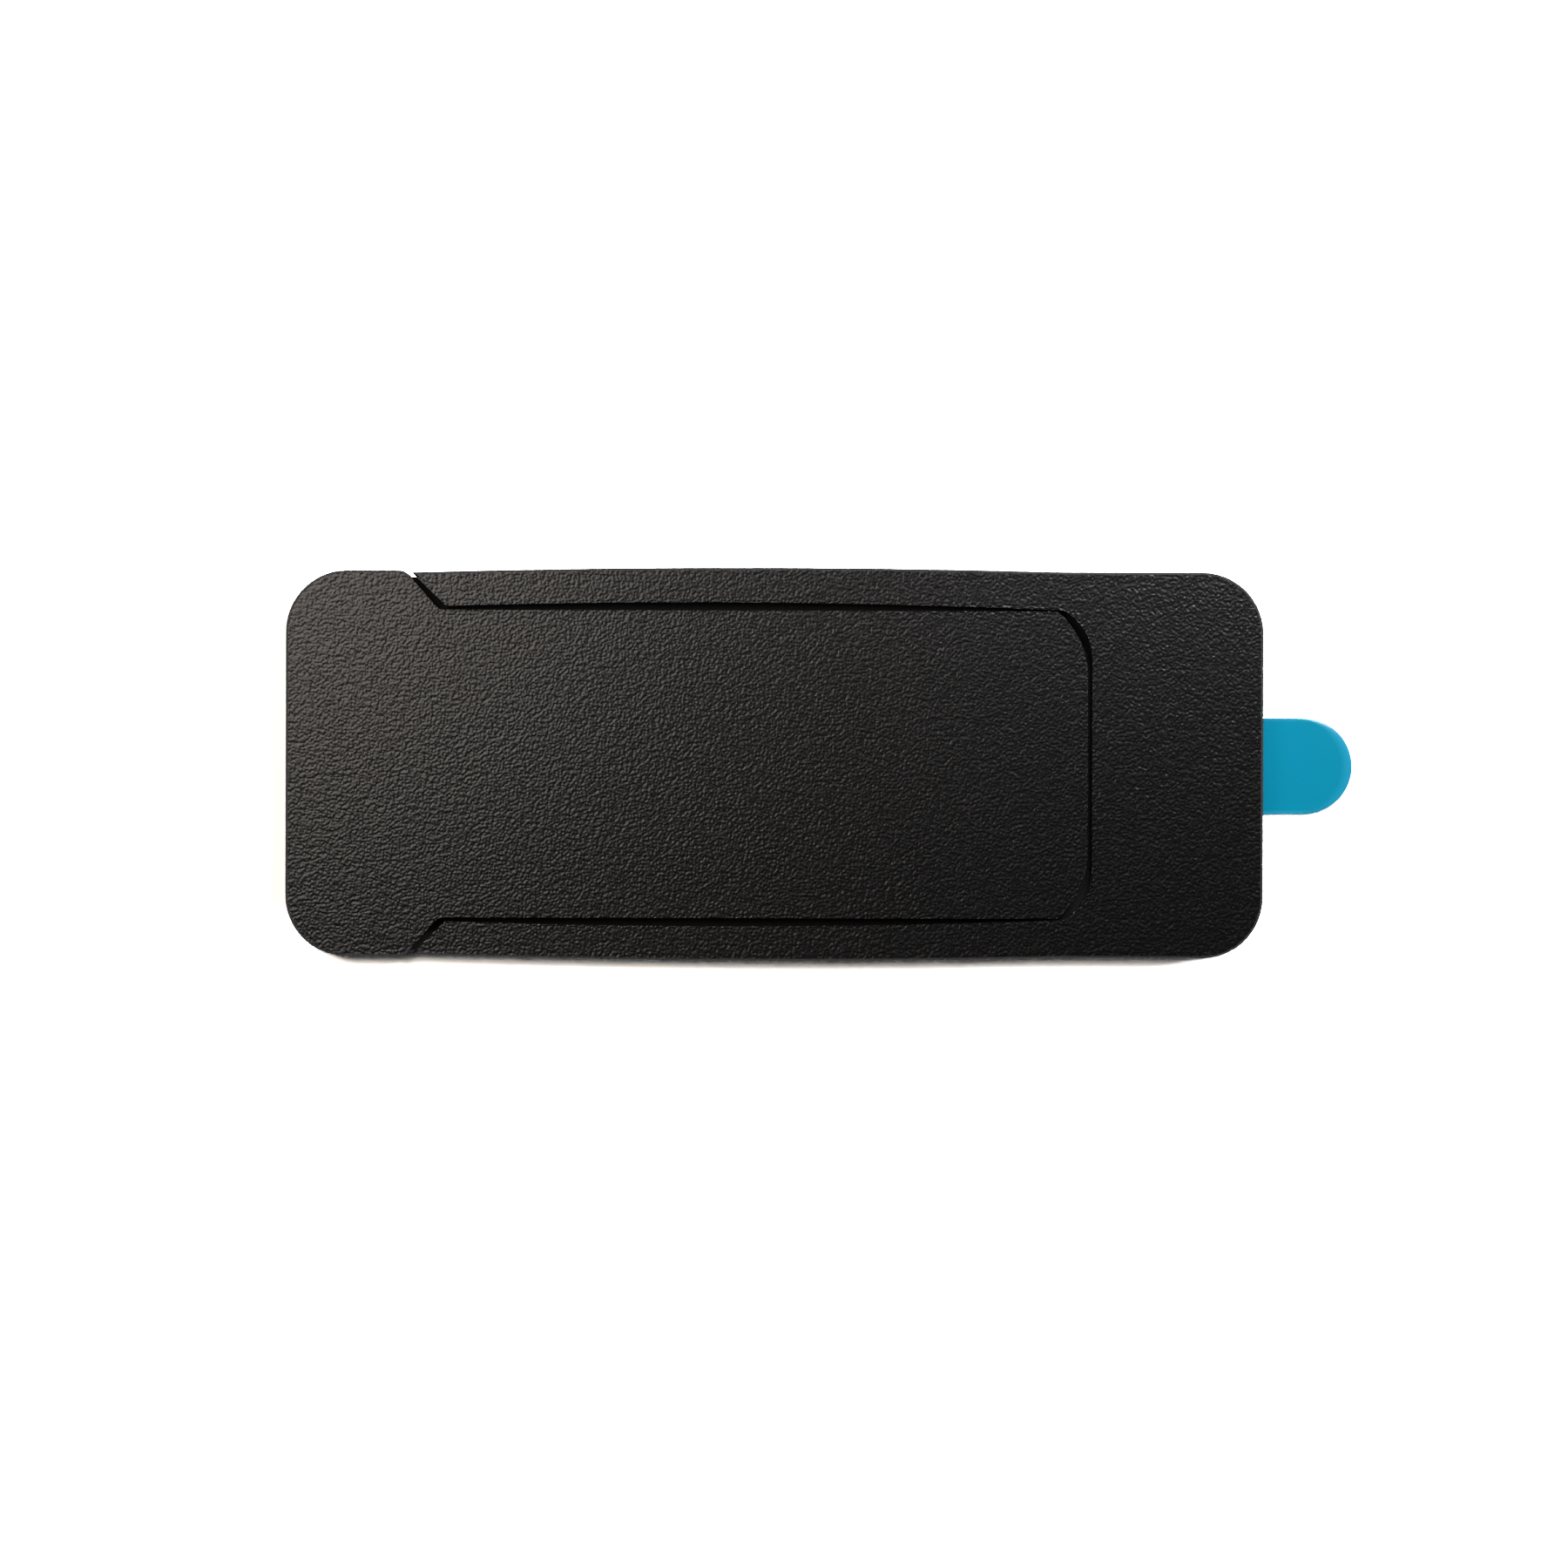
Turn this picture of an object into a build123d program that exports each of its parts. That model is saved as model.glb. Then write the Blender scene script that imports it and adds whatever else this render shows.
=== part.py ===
from build123d import *
import os
from math import asin, degrees, radians, sin, tan

# Sizes are in millimetres and angles in degrees. X runs along the cover, with the slider's head at -X.
# Closed cover, over the two mouldings
BODY_LENGTH = 40.0
BODY_WIDTH = 15.8
FRAME_HEIGHT = 1.5
CORNER_RADIUS = 2.5

# Frame: a closed end and two prongs, which taper to their tips and bow outward between root and tip
CLOSED_END_LENGTH = 7.0
PRONG_ROOT_WIDTH = 1.56
PRONG_MIDDLE_WIDTH = 1.42
PRONG_TIP_WIDTH = 1.36
PRONG_BOW = 0.15
PRONG_PINCH = 0.08
PRONG_ROOT_RADIUS = 0.5
SLOT_CORNER_RADIUS = 2.3
FRAME_EDGE_CHAMFER = 0.1

# Slider: a head as wide as the frame, sloping shoulders, and a tongue that fills the slot
HEAD_LENGTH = 4.85
SHOULDER_ANGLE = 49.0
SHOULDER_RADIUS = 0.5
TIP_CORNER_LENGTH = 1.24
TIP_CORNER_WIDTH = 2.67
SLIDER_EDGE_CHAMFER = 0.1
SLIDER_LIFT = 0.1
TRAVEL = 12.0

# Gaps that show between the closed mouldings
TIP_GAP = 0.18
SHOULDER_GAP = 0.2
SHOULDER_GAP_ANGLE = 5.0

# Flange round the tongue, its groove above a thin lip, and the stop that keeps the slider in the frame
FLANGE_THICKNESS = 0.3
FLANGE_OVERLAP = 0.35
FLANGE_SETBACK = 0.25
LOWER_LIP = 0.3
RUNNING_CLEARANCE = 0.05
STOP_REACH = 0.25
STOP_LENGTH = 0.6
STOP_RAMP = 0.3
STOP_SETBACK = 0.25

# Films under the frame: tape, and the liner with its pull tab
TAPE_THICKNESS = 0.2
TAPE_INSET = 0.2
LINER_THICKNESS = 0.1
TAB_WIDTH = 3.95
TAB_REACH = 3.8

# Places along X, from the middle of the closed cover
END_X = BODY_LENGTH / 2
HEAD_X = -BODY_LENGTH / 2
SHOULDER_X = HEAD_X + HEAD_LENGTH
SLOT_END_X = END_X - CLOSED_END_LENGTH
TIP_X = SLOT_END_X - TIP_GAP

# Half widths, from the middle line
BODY_HALF = BODY_WIDTH / 2
SLOT_ROOT_HALF = BODY_HALF - PRONG_ROOT_WIDTH
SLOT_MIDDLE_HALF = BODY_HALF + PRONG_BOW - PRONG_MIDDLE_WIDTH
SLOT_TIP_HALF = BODY_HALF - PRONG_PINCH - PRONG_TIP_WIDTH
TONGUE_HALF = min(SLOT_ROOT_HALF, SLOT_MIDDLE_HALF, SLOT_TIP_HALF) - RUNNING_CLEARANCE
FLANGE_HALF = max(SLOT_ROOT_HALF, SLOT_MIDDLE_HALF, SLOT_TIP_HALF) + FLANGE_OVERLAP
GROOVE_HALF = FLANGE_HALF + RUNNING_CLEARANCE

# Heights, from the underside of the liner
TAPE_Z = LINER_THICKNESS
FRAME_Z = TAPE_Z + TAPE_THICKNESS
TOP_Z = FRAME_Z + FRAME_HEIGHT
SLIDER_Z = FRAME_Z + SLIDER_LIFT
GROOVE_Z = FRAME_Z + LOWER_LIP
FLANGE_Z = GROOVE_Z + RUNNING_CLEARANCE
GROOVE_HEIGHT = FLANGE_THICKNESS + 2 * RUNNING_CLEARANCE

# Slopes of the head's shoulders and of the prong tips, which open the gap a little towards the tongue
SHOULDER_SLOPE = radians(SHOULDER_ANGLE)
PRONG_TIP_SLOPE = radians(SHOULDER_ANGLE - SHOULDER_GAP_ANGLE)


def shoulder_x(half_width):
    """X of the head's shoulder at a half width."""
    return SHOULDER_X + (BODY_HALF - half_width) / tan(SHOULDER_SLOPE)


def prong_tip_x(half_width, inset=0.0):
    """X of the prong's sloping tip at a half width, set back into the prong by an inset."""
    outer_x = SHOULDER_X + SHOULDER_GAP + inset / sin(PRONG_TIP_SLOPE)
    return outer_x + (BODY_HALF - half_width) / tan(PRONG_TIP_SLOPE)


def both_sides(half):
    """A half plan joined to its mirror image across the middle line."""
    return half + mirror(half, about=Plane.XZ)


def rounded(plan, point, radius):
    """The plan with its corner at a point rounded."""
    corner = plan.vertices().sort_by_distance(Vertex(*point))[0]
    return fillet(corner, radius)


def raised(plan, base, height):
    """A plan extruded upward from a base height."""
    return extrude(Pos(0, 0, base) * plan, height)


def prong_edge(root, middle_half, tip_half, inset):
    """One long edge of the upper prong: an arc from its root, through its middle, to its tip."""
    tip_x = prong_tip_x(tip_half, inset)
    return ThreePointArc(root, ((root.X + tip_x) / 2, middle_half), (tip_x, tip_half))


def u_plan(inset=0.0):
    """The U of the frame, or of a film set in from its edge, whose prong roots cut the slot's corners."""
    half_width = BODY_HALF - inset
    end_x = END_X - inset
    slot_end_x = SLOT_END_X + inset
    slot_radius = SLOT_CORNER_RADIUS + inset
    root_half = SLOT_ROOT_HALF + inset
    middle_half = SLOT_MIDDLE_HALF + inset
    centre = Vector(slot_end_x - slot_radius, max(root_half, middle_half) - slot_radius)
    slot_corner = CenterArc(centre, slot_radius, 0, degrees(asin((root_half - centre.Y) / slot_radius)))
    inner_root = slot_corner @ 1
    outer_root = Vector(inner_root.X, half_width)
    inner_side = prong_edge(inner_root, middle_half, SLOT_TIP_HALF + inset, inset)
    outer_side = prong_edge(outer_root, half_width + PRONG_BOW, half_width - PRONG_PINCH, inset)
    closed_end = Polyline(slot_corner @ 0, (slot_end_x, 0), (end_x, 0), (end_x, half_width), outer_root)
    outline = outer_side + Line(outer_side @ 1, inner_side @ 1) + inner_side + slot_corner + closed_end
    half = rounded(make_face(outline), (end_x, half_width), CORNER_RADIUS - inset)
    return both_sides(rounded(half, inner_root, PRONG_ROOT_RADIUS + inset))


def slider_plan():
    """The T of the slider: head, shoulders, and a tongue whose end sweeps back to its sides in two arcs."""
    outer_corner = (SHOULDER_X, BODY_HALF)
    inner_corner = (shoulder_x(TONGUE_HALF), TONGUE_HALF)
    sweep_start = (TIP_X, TONGUE_HALF - TIP_CORNER_WIDTH)
    sweep_end = (TIP_X - TIP_CORNER_LENGTH, TONGUE_HALF)
    sweep = TangentArc(sweep_start, sweep_end, tangent=(0, 1))
    head = [outer_corner, (HEAD_X, BODY_HALF), (HEAD_X, 0), (TIP_X, 0)]
    half = make_face(sweep + Polyline(sweep_end, inner_corner, *head, sweep_start))
    half = rounded(half, (HEAD_X, BODY_HALF), CORNER_RADIUS)
    half = rounded(half, outer_corner, SHOULDER_RADIUS)
    half = rounded(half, inner_corner, SHOULDER_RADIUS)
    return both_sides(half)


def flange_plan(growth):
    """The flange under the gaps round the tongue, or the groove for it when grown by a clearance."""
    overlap = FLANGE_OVERLAP + growth
    side = FLANGE_HALF + growth
    shoulder = BODY_HALF - FLANGE_SETBACK + growth
    root_x = HEAD_X + CORNER_RADIUS
    end_x = SLOT_END_X + overlap
    half = make_face(
        Polyline(
            (root_x, 0),
            (root_x, shoulder),
            (prong_tip_x(shoulder, overlap), shoulder),
            (prong_tip_x(side, overlap), side),
            (end_x, side),
            (end_x, 0),
            close=True,
        )
    )
    return both_sides(rounded(half, (end_x, side), SLOT_CORNER_RADIUS + overlap))


def stop_x():
    """X where the stop starts, a little inside the groove's mouth."""
    return prong_tip_x(GROOVE_HALF, FLANGE_OVERLAP + RUNNING_CLEARANCE) + STOP_SETBACK


def stop_plan():
    """The stop on each prong's groove wall: a ramp to snap the flange over, and a face to hold it."""
    crest_half = GROOVE_HALF - STOP_REACH
    end_x = stop_x() + STOP_LENGTH
    ramp = [(stop_x(), GROOVE_HALF), (stop_x() + STOP_RAMP, crest_half)]
    return both_sides(make_face(Polyline(*ramp, (end_x, crest_half), (end_x, GROOVE_HALF), close=True)))


def stop_notch_plan():
    """The notch in the flange's edge that the stop runs along as the slider travels."""
    start = Pos(stop_x() - RUNNING_CLEARANCE, FLANGE_HALF - STOP_REACH)
    length = STOP_LENGTH + TRAVEL + 2 * RUNNING_CLEARANCE
    return both_sides(start * Rectangle(length, 2 * STOP_REACH, align=(Align.MIN, Align.MIN)))


def make_base_frame():
    """The U-shaped frame, its groove and its two stops."""
    body = raised(u_plan(), FRAME_Z, FRAME_HEIGHT)
    body = chamfer(body.faces().sort_by(Axis.Z)[-1].edges(), FRAME_EDGE_CHAMFER)
    groove = raised(flange_plan(RUNNING_CLEARANCE), GROOVE_Z, GROOVE_HEIGHT)
    stops = raised(stop_plan(), GROOVE_Z, GROOVE_HEIGHT)
    return body - groove + stops


def make_slider():
    """The T-shaped slider, with the flange that holds it in the groove."""
    body = raised(slider_plan(), SLIDER_Z, TOP_Z - SLIDER_Z)
    body = chamfer(body.faces().sort_by(Axis.Z)[-1].edges(), SLIDER_EDGE_CHAMFER)
    flange = raised(flange_plan(0.0) - stop_notch_plan(), FLANGE_Z, FLANGE_THICKNESS)
    return body + flange


def make_adhesive_tape():
    """The die-cut double-sided tape under the frame."""
    return raised(u_plan(TAPE_INSET), TAPE_Z, TAPE_THICKNESS)


def make_release_liner():
    """The liner on the tape, with a round-ended tab to pull it by."""
    root_x = END_X - CLOSED_END_LENGTH / 2
    round_x = END_X + TAB_REACH - TAB_WIDTH / 2
    strip = Pos(root_x, 0) * Rectangle(round_x - root_x, TAB_WIDTH, align=(Align.MIN, Align.CENTER))
    tab = strip + Pos(round_x, 0) * Circle(TAB_WIDTH / 2)
    return raised(u_plan(TAPE_INSET) + tab, 0, LINER_THICKNESS)


PIECES = {
    "base_frame": make_base_frame(),
    "slider": make_slider(),
    "adhesive_tape": make_adhesive_tape(),
    "release_liner": make_release_liner(),
}

# The origin lies under the middle of the whole cover, tab included
TO_ORIGIN = Pos(-TAB_REACH / 2, 0, 0)

os.makedirs("parts", exist_ok=True)
for name, piece in PIECES.items():
    export_step(TO_ORIGIN * piece, os.path.join("parts", name + ".step"))
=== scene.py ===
"""Dresses a closed webcam cover slider: two textured black mouldings on tape and a blue release liner."""

import logging
import math
from dataclasses import dataclass, field
from enum import Enum
from typing import Any

import bpy
import numpy as np
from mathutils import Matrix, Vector


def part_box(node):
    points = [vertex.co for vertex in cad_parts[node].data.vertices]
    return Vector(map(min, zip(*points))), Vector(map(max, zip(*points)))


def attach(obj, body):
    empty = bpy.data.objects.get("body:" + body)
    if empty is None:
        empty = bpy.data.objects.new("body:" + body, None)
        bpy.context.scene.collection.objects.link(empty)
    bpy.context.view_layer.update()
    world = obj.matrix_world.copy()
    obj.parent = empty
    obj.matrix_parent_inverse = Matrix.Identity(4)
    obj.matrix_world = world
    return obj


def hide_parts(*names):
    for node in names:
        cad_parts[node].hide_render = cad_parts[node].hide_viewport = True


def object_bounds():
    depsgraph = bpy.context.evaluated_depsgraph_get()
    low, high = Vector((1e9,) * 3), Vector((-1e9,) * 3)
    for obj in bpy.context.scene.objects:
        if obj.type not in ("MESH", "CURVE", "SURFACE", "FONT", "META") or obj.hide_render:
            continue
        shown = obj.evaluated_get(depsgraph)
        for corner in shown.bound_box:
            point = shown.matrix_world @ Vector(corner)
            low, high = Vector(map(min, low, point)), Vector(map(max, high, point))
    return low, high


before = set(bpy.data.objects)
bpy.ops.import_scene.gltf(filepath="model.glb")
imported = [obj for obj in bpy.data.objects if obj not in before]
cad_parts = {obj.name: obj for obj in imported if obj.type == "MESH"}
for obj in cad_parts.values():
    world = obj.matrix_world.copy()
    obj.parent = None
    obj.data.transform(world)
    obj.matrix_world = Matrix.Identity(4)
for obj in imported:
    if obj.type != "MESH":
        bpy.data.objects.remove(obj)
CAD_LOW, CAD_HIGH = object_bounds()

MM = 0.001
# Point attribute with each point's share of painted highlight along the liner tab's cut edge
PAINTED_HIGHLIGHT_ATTRIBUTE = "painted_highlight"
LOG = logging.getLogger("webcam_cover")


class Node(Enum):
    """Pieces of the cover, by the name of their solid."""

    FRAME = "base_frame"
    SLIDER = "slider"
    TAPE = "adhesive_tape"
    LINER = "release_liner"


class Slot(Enum):
    """Names of material slots that the new pieces carry."""

    TAPE = "tape"
    LINER = "blue_liner"


class Body(Enum):
    """Bodies that the new pieces ride on."""

    FRAME = "frame"


def linear(hex_colour: str) -> tuple[float, float, float, float]:
    """Turns an sRGB hex colour into linear RGBA.

    Args:
        hex_colour: Six hex digits, with or without a leading hash.

    Returns:
        Linear red, green and blue, and an alpha of one.
    """
    digits = hex_colour.lstrip("#")
    srgb = np.array([int(digits[i:i + 2], 16) for i in (0, 2, 4)]) / 255.0
    low, high = srgb / 12.92, ((srgb + 0.055) / 1.055) ** 2.4
    red, green, blue = np.where(srgb <= 0.04045, low, high)
    return float(red), float(green), float(blue), 1.0


def add_node(
    tree: bpy.types.NodeTree,
    kind: str,
    settings: dict[str, Any] | None = None,
    inputs: dict[str | int, Any] | None = None,
) -> bpy.types.Node:
    """Adds a shader node, sets its properties, and sets or links its inputs.

    Args:
        tree: Node tree that gets the node.
        kind: Blender's type name of the node.
        settings: Properties of the node, by name.
        inputs: Values, or output sockets to link, by the input's name or number.

    Returns:
        The new node.
    """
    node = tree.nodes.new(kind)
    for name, value in (settings or {}).items():
        setattr(node, name, value)
    for key, value in (inputs or {}).items():
        if isinstance(value, bpy.types.NodeSocket):
            tree.links.new(value, node.inputs[key])
        else:
            node.inputs[key].default_value = value
    return node


def new_tree(name: str) -> tuple[bpy.types.Material, bpy.types.NodeTree]:
    """Makes a material with an empty node tree.

    Args:
        name: Name of the material.

    Returns:
        The material and its node tree.
    """
    material = bpy.data.materials.new(name)
    material.use_nodes = True
    material.node_tree.nodes.clear()
    return material, material.node_tree


def per_metre(size_mm: float) -> float:
    """Texture scale at which one cell of a pattern is a given size in millimetres."""
    return 1.0 / (size_mm * MM)


def body_centre() -> Vector:
    """Finds the middle of the two closed mouldings, on their top face.

    Returns:
        The point, in metres.
    """
    slider_low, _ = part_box(Node.SLIDER.value)
    _, frame_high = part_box(Node.FRAME.value)
    return Vector(((slider_low.x + frame_high.x) / 2, 0.0, frame_high.z))


@dataclass(frozen=True)
class SparkErodedAbs:
    """Black ABS moulded in a spark-eroded tool: a pebbled satin face that glitters in single grains.

    Walls draw plain and satin out of the tool, and the ledge under the gaps is dull, so the gaps stay
    black. The edges along the gaps look crisp, so their small chamfers are shaded as part of the face.
    """

    name: str = "black_abs_spark_eroded"
    colour: str = "#040404"
    crest_colour: str = "#08080a"
    ior: float = 1.53
    roughness: float = 0.27
    crest_roughness: float = 0.308
    wall_roughness: float = 0.45
    ledge_roughness: float = 0.9
    grain_mm: float = 0.11
    grain_height_mm: float = 0.018
    grain_detail: float = 0.0
    crest_range: tuple[float, float] = (0.5, 0.8)
    upward_slope: float = 0.5
    edge_mm: float = 0.01
    gap_edge_mm: float = 0.1
    gap_zone_mm: tuple[float, float] = (17.0, 7.6)
    ledge_depth_mm: float = 0.4

    def material(self) -> bpy.types.Material:
        """Builds the finish: grain as bump with rougher crests on the top faces, and plain plastic below.

        Returns:
            The material.
        """
        material, tree = new_tree(self.name)
        place = add_node(tree, "ShaderNodeTexCoord").outputs["Object"]
        height = add_node(tree, "ShaderNodeSeparateXYZ", inputs={0: place}).outputs["Z"]
        surface = add_node(tree, "ShaderNodeNewGeometry")
        facing = add_node(tree, "ShaderNodeSeparateXYZ", inputs={0: surface.outputs["True Normal"]})
        upward = add_node(tree, "ShaderNodeMath", {"operation": "GREATER_THAN"}, {
            0: facing.outputs["Z"], 1: self.upward_slope,
        })
        inside = self.gap_zone(tree, place)

        # Grain on the top faces and, along the gaps, on their chamfers
        grain = add_node(tree, "ShaderNodeTexNoise", inputs={
            "Vector": place, "Scale": per_metre(self.grain_mm), "Detail": self.grain_detail,
        })
        raised = add_node(tree, "ShaderNodeMath", {"operation": "MULTIPLY_ADD"}, {
            0: inside, 1: self.gap_edge_mm * MM, 2: height,
        })
        face = add_node(tree, "ShaderNodeMath", {"operation": "GREATER_THAN"}, {
            0: raised.outputs[0], 1: CAD_HIGH.z - self.edge_mm * MM,
        })
        relief = add_node(tree, "ShaderNodeMath", {"operation": "MULTIPLY"}, {
            0: grain.outputs["Fac"], 1: face.outputs[0],
        })
        crisp = add_node(tree, "ShaderNodeMath", {"operation": "MULTIPLY"}, {
            0: inside, 1: upward.outputs[0],
        })
        flat = add_node(tree, "ShaderNodeMix", {"data_type": "VECTOR"}, {
            "Factor": crisp.outputs[0], 4: surface.outputs["Normal"], 5: (0.0, 0.0, 1.0),
        })
        pebble = add_node(tree, "ShaderNodeBump", inputs={
            "Strength": 1.0, "Distance": self.grain_height_mm * MM, "Height": relief.outputs[0],
            "Normal": flat.outputs[1],
        })

        # Crests that are paler and rougher than the hollows
        crest_low, crest_high = self.crest_range
        crest = add_node(tree, "ShaderNodeMapRange", inputs={
            "Value": relief.outputs[0], "From Min": crest_low, "From Max": crest_high,
        })
        colour = add_node(tree, "ShaderNodeMix", {"data_type": "RGBA"}, {
            "Factor": crest.outputs["Result"], 6: linear(self.colour), 7: linear(self.crest_colour),
        })
        skin = add_node(tree, "ShaderNodeMapRange", inputs={
            "Value": crest.outputs["Result"], "To Min": self.roughness, "To Max": self.crest_roughness,
        })

        # Ledge and walls with a gloss of their own
        high = add_node(tree, "ShaderNodeMath", {"operation": "GREATER_THAN"}, {
            0: height, 1: CAD_HIGH.z - self.ledge_depth_mm * MM,
        })
        level = add_node(tree, "ShaderNodeMix", inputs={
            "Factor": high.outputs[0], 2: self.ledge_roughness, 3: skin.outputs["Result"],
        })
        gloss = add_node(tree, "ShaderNodeMix", inputs={
            "Factor": upward.outputs[0], 2: self.wall_roughness, 3: level.outputs[0],
        })
        shader = add_node(tree, "ShaderNodeBsdfPrincipled", inputs={
            "Base Color": colour.outputs[2], "Roughness": gloss.outputs[0],
            "Normal": pebble.outputs["Normal"], "IOR": self.ior,
        })
        add_node(tree, "ShaderNodeOutputMaterial", inputs={"Surface": shader.outputs["BSDF"]})
        return material

    def gap_zone(self, tree: bpy.types.NodeTree, place: bpy.types.NodeSocket) -> bpy.types.NodeSocket:
        """Marks the middle of the cover, where the gaps run, inside its outer edges.

        Args:
            tree: Node tree of the finish.
            place: Output socket with the place on the moulding.

        Returns:
            Output socket that is one inside a box round that zone and zero outside.
        """
        half_x, half_y = (half * MM for half in self.gap_zone_mm)
        middle = add_node(tree, "ShaderNodeVectorMath", {"operation": "SUBTRACT"}, {
            0: place, 1: body_centre(),
        })
        share = add_node(tree, "ShaderNodeVectorMath", {"operation": "DIVIDE"}, {
            0: middle.outputs["Vector"], 1: (half_x, half_y, 1.0),
        })
        reach = add_node(tree, "ShaderNodeVectorMath", {"operation": "ABSOLUTE"}, {
            0: share.outputs["Vector"],
        })
        axes = add_node(tree, "ShaderNodeSeparateXYZ", inputs={0: reach.outputs["Vector"]})
        furthest = add_node(tree, "ShaderNodeMath", {"operation": "MAXIMUM"}, {
            0: axes.outputs["X"], 1: axes.outputs["Y"],
        })
        inside = add_node(tree, "ShaderNodeMath", {"operation": "LESS_THAN"}, {
            0: furthest.outputs[0], 1: 1.0,
        })
        return inside.outputs[0]


@dataclass(frozen=True)
class AcrylicTape:
    """Double-sided acrylic tape: a milky, slightly yellow edge."""

    name: str = "acrylic_tape"
    colour: str = "#dedcd4"
    cloud_colour: str = "#cfcdc4"
    cloud_mm: float = 0.8
    cloud_detail: float = 3.0
    roughness: float = 0.45

    def material(self) -> bpy.types.Material:
        """Builds the finish: milky colour that clouds a little.

        Returns:
            The material.
        """
        material, tree = new_tree(self.name)
        place = add_node(tree, "ShaderNodeTexCoord").outputs["Object"]
        cloud = add_node(tree, "ShaderNodeTexNoise", inputs={
            "Vector": place, "Scale": per_metre(self.cloud_mm), "Detail": self.cloud_detail,
        })
        colour = add_node(tree, "ShaderNodeMix", {"data_type": "RGBA"}, {
            "Factor": cloud.outputs["Fac"], 6: linear(self.colour), 7: linear(self.cloud_colour),
        })
        shader = add_node(tree, "ShaderNodeBsdfPrincipled", inputs={
            "Base Color": colour.outputs[2], "Roughness": self.roughness,
        })
        add_node(tree, "ShaderNodeOutputMaterial", inputs={"Surface": shader.outputs["BSDF"]})
        return material


@dataclass(frozen=True)
class BlueLinerFilm:
    """Blue siliconised polyester film: a smooth, even sheet with a soft sheen, and a painted highlight
    along the tab's cut edge.
    """

    name: str = "blue_polyester_liner"
    colour: str = "#008cab"
    cloud_colour: str = "#0488a6"
    # Colour of the painted highlight along the tab's cut edge
    painted_highlight_colour: str = "#2b9fc0"
    cloud_mm: float = 1.2
    cloud_detail: float = 3.0
    ior: float = 1.6
    roughness: float = 0.22

    def material(self) -> bpy.types.Material:
        """Builds the finish: even blue with a barely visible cloud, and a paler painted highlight along
        the tab's cut edge.

        Returns:
            The material.
        """
        material, tree = new_tree(self.name)
        place = add_node(tree, "ShaderNodeTexCoord").outputs["Object"]
        cloud = add_node(tree, "ShaderNodeTexNoise", inputs={
            "Vector": place, "Scale": per_metre(self.cloud_mm), "Detail": self.cloud_detail,
        })
        sheet = add_node(tree, "ShaderNodeMix", {"data_type": "RGBA"}, {
            "Factor": cloud.outputs["Fac"], 6: linear(self.colour), 7: linear(self.cloud_colour),
        })
        # Painted highlight: the tab's cut edge is drawn paler, as if it caught the light
        painted_highlight = add_node(tree, "ShaderNodeAttribute", {"attribute_name": PAINTED_HIGHLIGHT_ATTRIBUTE})
        colour = add_node(tree, "ShaderNodeMix", {"data_type": "RGBA"}, {
            "Factor": painted_highlight.outputs["Fac"], 6: sheet.outputs[2], 7: linear(self.painted_highlight_colour),
        })
        shader = add_node(tree, "ShaderNodeBsdfPrincipled", inputs={
            "Base Color": colour.outputs[2], "Roughness": self.roughness, "IOR": self.ior,
        })
        add_node(tree, "ShaderNodeOutputMaterial", inputs={"Surface": shader.outputs["BSDF"]})
        return material


@dataclass(frozen=True)
class Moulding:
    """A moulding of the cover, which keeps the shape of its solid."""

    node: Node

    def dress(self, finish: bpy.types.Material) -> bpy.types.Object:
        """Gives the moulding its finish.

        Args:
            finish: Material of the whole moulding.

        Returns:
            The moulding.
        """
        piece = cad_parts[self.node.value]
        piece.data.materials.clear()
        piece.data.materials.append(finish)
        LOG.info("moulding %s in %s", piece.name, finish.name)
        return piece


def straight(start: tuple[float, float], end: tuple[float, float], count: int) -> np.ndarray:
    """Points of a straight run, its end left out, as rows of X and Y."""
    share = np.linspace(0.0, 1.0, count, endpoint=False)[:, None]
    return np.array(start) + share * (np.array(end) - np.array(start))


def arc(centre: tuple[float, float], radius: float, first: float, count: int) -> np.ndarray:
    """Points of an arc that turns from an angle down to the X axis, its end left out."""
    angle = np.linspace(first, 0.0, count, endpoint=False)
    return np.array(centre) + radius * np.stack([np.cos(angle), np.sin(angle)], axis=-1)


def with_mirror(half: np.ndarray, middle_x: float) -> np.ndarray:
    """An edge from a prong tip to the middle line, a point on that line, and the edge's mirror image."""
    return np.concatenate([half, [[middle_x, 0.0]], half[::-1] * (1.0, -1.0)])


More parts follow.
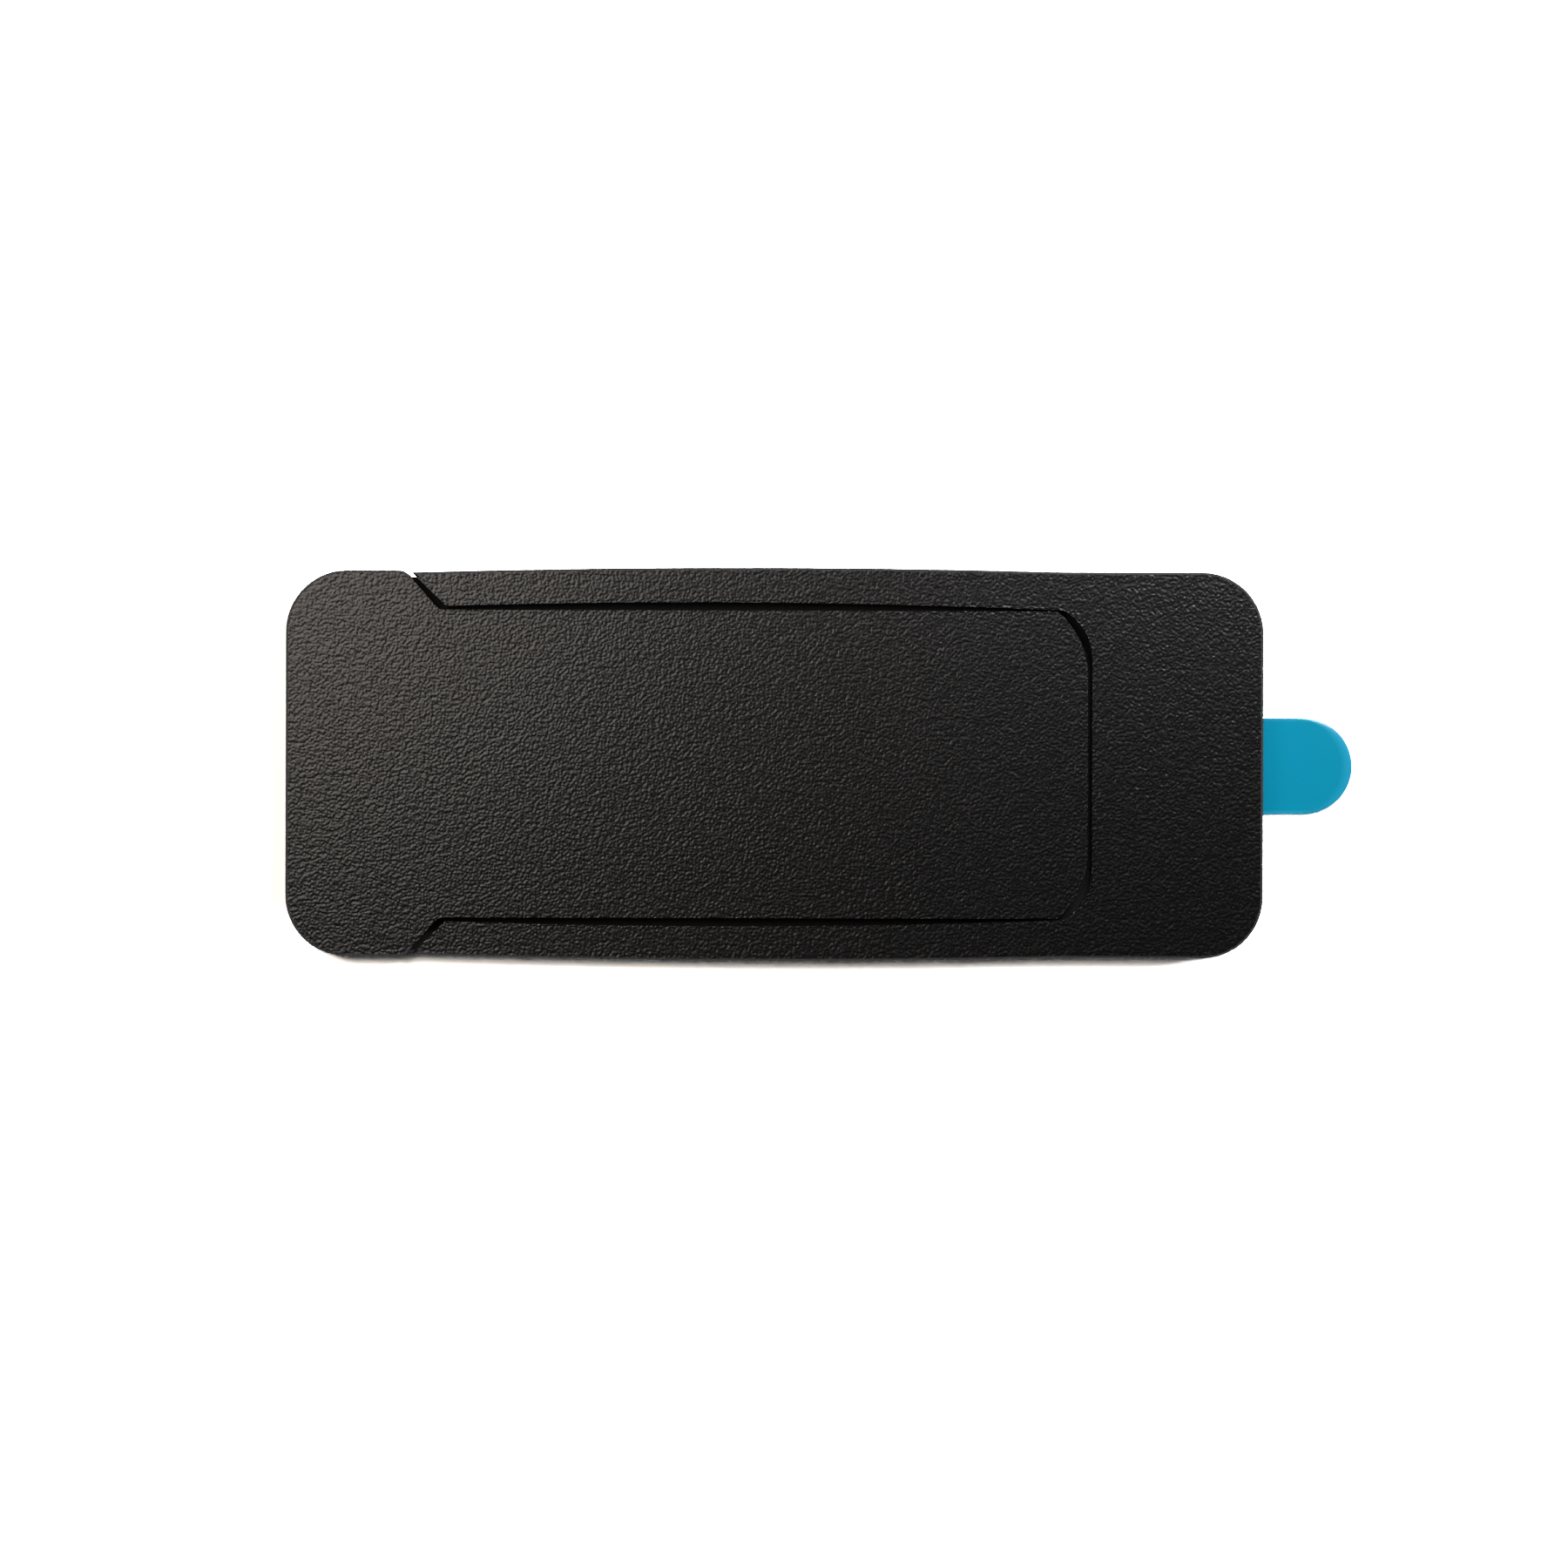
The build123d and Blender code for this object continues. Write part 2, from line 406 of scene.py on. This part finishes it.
@dataclass
class UFilm:
    """A film under the frame: a flat section carried round the U, from one prong tip to the other.

    Sizes are in millimetres. Stations lie opposite each other on the film's outer and inner edge, and the
    section runs between them.
    """

    node: Node
    slot: Slot
    inset: float = 0.2
    corner_radius: float = 2.5
    closed_end: float = 7.0
    prong_root: float = 1.56
    prong_middle: float = 1.42
    prong_tip: float = 1.36
    prong_tip_slope: float = math.radians(44.0)
    prong_bow: float = 0.15
    prong_pinch: float = 0.08
    slot_corner_radius: float = 2.3
    side_count: int = 40
    straight_count: int = 10
    arc_count: int = 16
    edge_count: int = 7
    across_count: int = 24
    end_x: float = field(init=False)
    slot_end_x: float = field(init=False)
    root_x: float = field(init=False)
    tip_x: float = field(init=False)
    reach_x: float = field(init=False)
    half_width: float = field(init=False)
    low_z: float = field(init=False)
    thickness: float = field(init=False)

    def __post_init__(self) -> None:
        """Takes the places that the solids give."""
        _, frame_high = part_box(Node.FRAME.value)
        low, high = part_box(self.node.value)
        frame_end = frame_high.x / MM
        self.end_x = frame_end - self.inset
        self.slot_end_x = frame_end - self.closed_end + self.inset
        self.tip_x = low.x / MM
        self.reach_x = high.x / MM
        self.half_width = high.y / MM - self.prong_bow
        self.low_z = low.z / MM
        self.thickness = (high.z - low.z) / MM
        centre, radius, first = self.slot_corner()
        self.root_x = centre[0] + radius * math.cos(first)

    def slot_half(self, prong: float, bow: float = 0.0) -> float:
        """Half width of the slot where a prong has a width and stands out of line by a bow."""
        return self.half_width + 2 * self.inset + bow - prong

    def slot_corner(self) -> tuple[tuple[float, float], float, float]:
        """Finds the round corner of the slot, which the prong's root cuts.

        Returns:
            Centre and radius of the corner, and the angle at which the root cuts it.
        """
        root = self.slot_half(self.prong_root)
        radius = self.slot_corner_radius + self.inset
        centre_y = max(root, self.slot_half(self.prong_middle, self.prong_bow)) - radius
        return (self.slot_end_x - radius, centre_y), radius, math.asin((root - centre_y) / radius)

    def side(self, tip_x: float, tip: float, middle: float, root: float) -> np.ndarray:
        """Points of a prong's long edge: Y follows a parabola through its tip, middle and root.

        Args:
            tip_x: X where the edge starts, at the prong's tip.
            tip: Half width of the edge at the tip.
            middle: Half width halfway along.
            root: Half width at the prong's root, where the edge ends.

        Returns:
            Rows of X and Y, with the end left out.
        """
        share = np.linspace(0.0, 1.0, self.side_count, endpoint=False)
        x = tip_x + share * (self.root_x - tip_x)
        swell = 4.0 * share * (1.0 - share) * (middle - (tip + root) / 2.0)
        return np.stack([x, tip + share * (root - tip) + swell], axis=-1)

    def outer_edge(self) -> np.ndarray:
        """Outer edge of the half with positive Y: bowed side, rounded corner and closed end.

        Returns:
            Rows of X and Y, from the prong's tip to just short of the middle line.
        """
        radius = self.corner_radius - self.inset
        corner_x, corner_y = self.end_x - radius, self.half_width - radius
        tip, middle = self.half_width - self.prong_pinch, self.half_width + self.prong_bow
        return np.concatenate([
            self.side(self.tip_x, tip, middle, self.half_width),
            straight((self.root_x, self.half_width), (corner_x, self.half_width), self.straight_count),
            arc((corner_x, corner_y), radius, math.pi / 2, self.arc_count),
            self.outer_end(corner_y),
        ])

    def inner_edge(self) -> np.ndarray:
        """Inner edge of the same half: slot side, the slot's corner that the prong's root cuts, slot end.

        Returns:
            Rows of X and Y, each opposite a row of the outer edge.
        """
        tip, root = self.slot_half(self.prong_tip, -self.prong_pinch), self.slot_half(self.prong_root)
        tip_x = self.tip_x + (self.prong_tip - 2 * self.inset) / math.tan(self.prong_tip_slope)
        centre, radius, first = self.slot_corner()
        return np.concatenate([
            self.side(tip_x, tip, self.slot_half(self.prong_middle, self.prong_bow), root),
            arc(centre, radius, first, self.straight_count + self.arc_count),
            self.inner_end(centre[1]),
        ])

    def outer_end(self, start_y: float) -> np.ndarray:
        """Rest of the outer edge: straight along the closed end."""
        return straight((self.end_x, start_y), (self.end_x, 0.0), self.straight_count)

    def inner_end(self, start_y: float) -> np.ndarray:
        """Rest of the inner edge: straight along the slot's end."""
        return straight((self.slot_end_x, start_y), (self.slot_end_x, 0.0), self.straight_count)

    def lift(self, x: np.ndarray) -> np.ndarray:
        """Height by which the film leaves the flat: none."""
        return np.zeros_like(x)

    def painted_highlight(self, x: np.ndarray, y: np.ndarray) -> np.ndarray:
        """Share of painted highlight in each point's colour: none."""
        return np.zeros_like(x)

    def section(self, width: np.ndarray) -> tuple[np.ndarray, np.ndarray]:
        """The section's outline: half-round edges of the film's thickness, joined by flat faces.

        Args:
            width: Width of the film at each station.

        Returns:
            Distance from the outer edge, a row for each station, and height, one row for all.
        """
        radius = self.thickness / 2.0
        angle = np.linspace(-math.pi / 2, math.pi / 2, self.edge_count)
        edge = np.broadcast_to(radius * (1.0 - np.cos(angle)), (len(width), self.edge_count))
        edge_z = radius * (1.0 + np.sin(angle))
        share = np.linspace(0.0, 1.0, self.across_count + 2)[1:-1]
        across = radius + share * (width[:, None] - self.thickness)
        flat = np.zeros(self.across_count)
        far = width[:, None] - edge[:, ::-1]
        distance = np.concatenate([edge, across, far, width[:, None] - across], axis=1)
        return distance, np.concatenate([edge_z, flat + self.thickness, edge_z[::-1], flat])

    def build(self) -> bpy.types.Object:
        """Builds the film as a grid of station by section point, closed by a face at each prong tip.

        Returns:
            The film, riding with the frame in place of its solid.
        """
        outer = with_mirror(self.outer_edge(), self.reach_x)
        inner = with_mirror(self.inner_edge(), self.slot_end_x)
        width = np.linalg.norm(inner - outer, axis=1)
        distance, height = self.section(width)
        across = (inner - outer) / width[:, None]
        plan = outer[:, None] + distance[..., None] * across[:, None]
        x, y = plan[..., 0], plan[..., 1]
        points = np.stack([x, y, self.low_z + height + self.lift(x)], axis=-1) * MM
        stations, loop = x.shape
        row, column = np.meshgrid(np.arange(stations - 1), np.arange(loop), indexing="ij")
        here, there, following = row * loop, (row + 1) * loop, (column + 1) % loop
        quads = np.stack([here + column, here + following, there + following, there + column], axis=-1)
        last = (stations - 1) * loop
        caps = [list(range(loop))[::-1], list(range(last, last + loop))]
        mesh = bpy.data.meshes.new(self.node.value + "_film")
        mesh.from_pydata(points.reshape(-1, 3).tolist(), [], quads.reshape(-1, 4).tolist() + caps)
        smooth = np.arange(len(mesh.polygons)) < len(mesh.polygons) - len(caps)
        mesh.polygons.foreach_set("use_smooth", smooth)
        # Each point's share of painted highlight along the tab's cut edge, for the finish to read
        painted_highlight = mesh.attributes.new(PAINTED_HIGHLIGHT_ATTRIBUTE, "FLOAT", "POINT")
        painted_highlight.data.foreach_set("value", self.painted_highlight(x, y).ravel())
        film = bpy.data.objects.new(self.node.value + "_film", mesh)
        bpy.context.scene.collection.objects.link(film)
        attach(film, Body.FRAME.value)
        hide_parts(self.node.value)
        LOG.info("film %s, %d faces", film.name, len(mesh.polygons))
        return film

    def dress(self, film: bpy.types.Object, finish: bpy.types.Material) -> None:
        """Gives the film its finish."""
        film.data.materials.append(finish)


@dataclass
class AdhesiveTape(UFilm):
    """The double-sided tape under the frame."""

    node: Node = Node.TAPE
    slot: Slot = Slot.TAPE


@dataclass
class ReleaseLiner(UFilm):
    """The liner on the tape, whose round-ended pull tab stands free of the closed end."""

    node: Node = Node.LINER
    slot: Slot = Slot.LINER
    tab_width: float = 3.95
    tab_lift: float = 0.2
    # Width of the painted highlight along the tab's cut edge, in millimetres
    painted_highlight_width: float = 0.15
    fan_share: float = 0.7

    def outer_end(self, start_y: float) -> np.ndarray:
        """Rest of the outer edge: along the closed end, out along the tab and round its tip.

        Args:
            start_y: Y where the frame's rounded corner ends.

        Returns:
            Rows of X and Y, with the end on the middle line left out.
        """
        half = self.tab_width / 2.0
        round_x = self.reach_x - half
        return np.concatenate([
            straight((self.end_x, start_y), (self.end_x, half), self.straight_count),
            straight((self.end_x, half), (round_x, half), self.straight_count),
            arc((round_x, 0.0), half, math.pi / 2, self.arc_count),
        ])

    def inner_end(self, start_y: float) -> np.ndarray:
        """Rest of the inner edge: stations that fan out over the tab.

        Args:
            start_y: Y where the slot's rounded corner ends.

        Returns:
            Rows of X and Y, each opposite a row of the outer edge's rest.
        """
        half = self.tab_width / 2.0
        fan = half * self.fan_share
        return np.concatenate([
            straight((self.slot_end_x, start_y), (self.slot_end_x, half), self.straight_count),
            straight((self.slot_end_x, half), (self.slot_end_x, fan), self.straight_count),
            straight((self.slot_end_x, fan), (self.slot_end_x, 0.0), self.arc_count),
        ])

    def lift(self, x: np.ndarray) -> np.ndarray:
        """Height by which the free tab curls up: it grows with the square of the way to the tip."""
        share = np.clip((x - self.end_x) / (self.reach_x - self.end_x), 0.0, 1.0)
        return self.tab_lift * share ** 2

    def painted_highlight(self, x: np.ndarray, y: np.ndarray) -> np.ndarray:
        """Share of painted highlight in each point's colour, along the tab's cut edge: it fades inward
        from the tab's outline.

        Args:
            x: X of each point.
            y: Y of each point.

        Returns:
            One on the outline, falling to zero at the painted highlight's width, and zero off the tab.
        """
        half = self.tab_width / 2.0
        inward = half - np.hypot(np.maximum(x - self.reach_x + half, 0.0), y)
        return np.where(x > self.end_x, np.clip(1.0 - inward / self.painted_highlight_width, 0.0, 1.0), 0.0)


@dataclass(frozen=True)
class SoftLamp:
    """A square soft box that faces the cover."""

    name: str
    place_m: tuple[float, float, float]
    size_m: float
    power_w: float
    colour: str

    def build(self, aim: Vector) -> bpy.types.Object:
        """Makes the lamp and turns it to a point.

        Args:
            aim: Point that the lamp faces, and that its place is measured from.

        Returns:
            The lamp.
        """
        light = bpy.data.lights.new(self.name, "AREA")
        light.shape = "SQUARE"
        light.size = self.size_m
        light.energy = self.power_w
        light.color = linear(self.colour)[:3]
        lamp = bpy.data.objects.new(self.name, light)
        lamp.location = aim + Vector(self.place_m)
        lamp.rotation_euler = (-Vector(self.place_m)).to_track_quat("-Z", "Y").to_euler()
        lamp.visible_camera = False
        bpy.context.scene.collection.objects.link(lamp)
        LOG.info("lamp %s", self.name)
        return lamp


@dataclass(frozen=True)
class StudioSweep:
    """A white table whose far edge curves up into a low wall all round.

    The camera sees it brighter than it is lit: by one gain in the shade along the cover's lower edge, and
    by a smaller one elsewhere. The gain changes between two places across the cover.
    """

    flat_radius_m: float = 0.7
    bend_radius_m: float = 0.2
    wall_height_m: float = 0.2
    turns: int = 96
    bend_steps: int = 16
    table_colour: str = "#e6e6e6"
    camera_gain: float = 6.0
    shade_gain: float = 20.0
    shade_place_mm: tuple[float, float] = (-8.3, -5.5)
    lit_radius_m: float = 0.05
    white_radius_m: float = 0.12

    def build(self) -> bpy.types.Object:
        """Builds the sweep as a surface of revolution: a flat disc, a quarter-round bend and a wall.

        Returns:
            The stage object.
        """
        bend = np.linspace(0.0, math.pi / 2, self.bend_steps)
        radius = np.concatenate([
            [0.0], self.flat_radius_m + self.bend_radius_m * np.sin(bend),
            [self.flat_radius_m + self.bend_radius_m],
        ])
        height = np.concatenate([
            [0.0], self.bend_radius_m * (1.0 - np.cos(bend)), [self.bend_radius_m + self.wall_height_m],
        ])
        angle = np.arange(self.turns) * 2.0 * math.pi / self.turns
        x = radius[:, None] * np.cos(angle)
        y = radius[:, None] * np.sin(angle)
        z = np.broadcast_to(height[:, None], x.shape) + CAD_LOW.z
        points = np.stack([x, y, z], axis=-1).reshape(-1, 3)
        row, turn = np.meshgrid(np.arange(len(radius) - 1), np.arange(self.turns), indexing="ij")
        here, there = row * self.turns, (row + 1) * self.turns
        following = (turn + 1) % self.turns
        quads = np.stack([here + turn, there + turn, there + following, here + following], axis=-1)
        mesh = bpy.data.meshes.new("studio_sweep")
        mesh.from_pydata(points.tolist(), [], quads.reshape(-1, 4).tolist())
        sweep = bpy.data.objects.new("studio_sweep", mesh)
        bpy.context.scene.collection.objects.link(sweep)
        mesh.materials.append(self.material())
        LOG.info("studio sweep")
        return sweep

    def material(self) -> bpy.types.Material:
        """Builds the finish: white laminate near the cover, plain white where the lamps no longer reach.

        Returns:
            The material.
        """
        material, tree = new_tree("white_laminate")
        path = add_node(tree, "ShaderNodeLightPath")
        mirrored = add_node(tree, "ShaderNodeMath", {"operation": "MAXIMUM"}, {
            0: path.outputs["Is Glossy Ray"], 1: path.outputs["Is Transmission Ray"],
        })
        seen = add_node(tree, "ShaderNodeMath", {"operation": "MAXIMUM"}, {
            0: mirrored.outputs[0], 1: path.outputs["Is Camera Ray"],
        })
        place = add_node(tree, "ShaderNodeTexCoord").outputs["Object"]
        across = add_node(tree, "ShaderNodeSeparateXYZ", inputs={0: place})
        shade_start, shade_end = (edge * MM for edge in self.shade_place_mm)
        gain = add_node(tree, "ShaderNodeMapRange", {"interpolation_type": "SMOOTHSTEP"}, {
            "Value": across.outputs["Y"], "From Min": shade_start, "From Max": shade_end,
            "To Min": self.shade_gain, "To Max": self.camera_gain,
        })
        level = add_node(tree, "ShaderNodeMix", inputs={
            "Factor": path.outputs["Is Camera Ray"], 2: 1.0, 3: gain.outputs["Result"],
        })
        colour = add_node(tree, "ShaderNodeVectorMath", {"operation": "SCALE"}, {
            0: linear(self.table_colour)[:3], "Scale": level.outputs[0],
        })
        lit = add_node(tree, "ShaderNodeBsdfDiffuse", inputs={"Color": colour.outputs["Vector"]})
        reach = add_node(tree, "ShaderNodeVectorMath", {"operation": "LENGTH"}, {0: place})
        far = add_node(tree, "ShaderNodeMapRange", {"interpolation_type": "SMOOTHSTEP"}, {
            "Value": reach.outputs["Value"],
            "From Min": self.lit_radius_m, "From Max": self.white_radius_m,
        })
        share = add_node(tree, "ShaderNodeMath", {"operation": "MULTIPLY"}, {
            0: far.outputs["Result"], 1: seen.outputs[0],
        })
        white = add_node(tree, "ShaderNodeEmission", inputs={
            "Color": (1.0, 1.0, 1.0, 1.0), "Strength": 1.0,
        })
        mixed = add_node(tree, "ShaderNodeMixShader", inputs={
            0: share.outputs[0], 1: lit.outputs["BSDF"], 2: white.outputs["Emission"],
        })
        add_node(tree, "ShaderNodeOutputMaterial", inputs={"Surface": mixed.outputs["Shader"]})
        return material


@dataclass(frozen=True)
class Studio:
    """Camera straight above the cover, three soft boxes and a dim room."""

    photo_pixels: int = 1800
    pixels_per_mm: float = 28.07
    body_centre_px: tuple[float, float] = (888.95, 877.6)
    roll_deg: float = 0.167
    camera_height_m: float = 0.2
    sensor_mm: float = 36.0
    clip_m: tuple[float, float] = (0.01, 10.0)
    room_level: float = 0.005
    lamps: tuple[SoftLamp, ...] = (
        SoftLamp("key_lamp", (-0.0405, 0.028, 0.115), 0.05, 0.038, "#fff5ec"),
        SoftLamp("side_lamp", (0.028, 0.047, 0.055), 0.04, 0.068, "#fbfaff"),
        SoftLamp("fill_lamp", (0.10, 0.03, 0.06), 0.05, 0.045, "#fbfaff"),
    )

    def build(self) -> None:
        """Sets the view transform, room, table, lamps and camera."""
        scene = bpy.context.scene
        scene.view_settings.view_transform = "Standard"
        world = bpy.data.worlds.new("dim_room")
        world.use_nodes = True
        world.node_tree.nodes["Background"].inputs["Strength"].default_value = self.room_level
        scene.world = world
        StudioSweep().build()
        for lamp in self.lamps:
            lamp.build(body_centre())
        self.camera()

    def camera(self) -> bpy.types.Object:
        """Hangs the camera where the cover fills the picture as in the photograph.

        Returns:
            The camera.
        """
        middle = self.photo_pixels / 2
        right = (middle - self.body_centre_px[0]) / self.pixels_per_mm * MM
        up = (self.body_centre_px[1] - middle) / self.pixels_per_mm * MM
        data = bpy.data.cameras.new("camera")
        data.sensor_width = self.sensor_mm
        data.lens = self.sensor_mm * self.camera_height_m * self.pixels_per_mm / (self.photo_pixels * MM)
        data.clip_start, data.clip_end = self.clip_m
        camera = bpy.data.objects.new("camera", data)
        camera.location = body_centre() + Vector((right, up, self.camera_height_m))
        camera.rotation_euler = (0.0, 0.0, math.radians(self.roll_deg))
        bpy.context.scene.collection.objects.link(camera)
        bpy.context.scene.camera = camera
        LOG.info("camera")
        return camera


def main() -> None:
    """Builds and dresses the pieces from the bottom up, then sets up the studio."""
    logging.basicConfig(level=logging.INFO, format="%(message)s")
    for film, finish in ((ReleaseLiner(), BlueLinerFilm()), (AdhesiveTape(), AcrylicTape())):
        film.dress(film.build(), finish.material())
    abs_skin = SparkErodedAbs().material()
    for node in (Node.FRAME, Node.SLIDER):
        Moulding(node).dress(abs_skin)
    Studio().build()


if __name__ == "__main__":
    main()
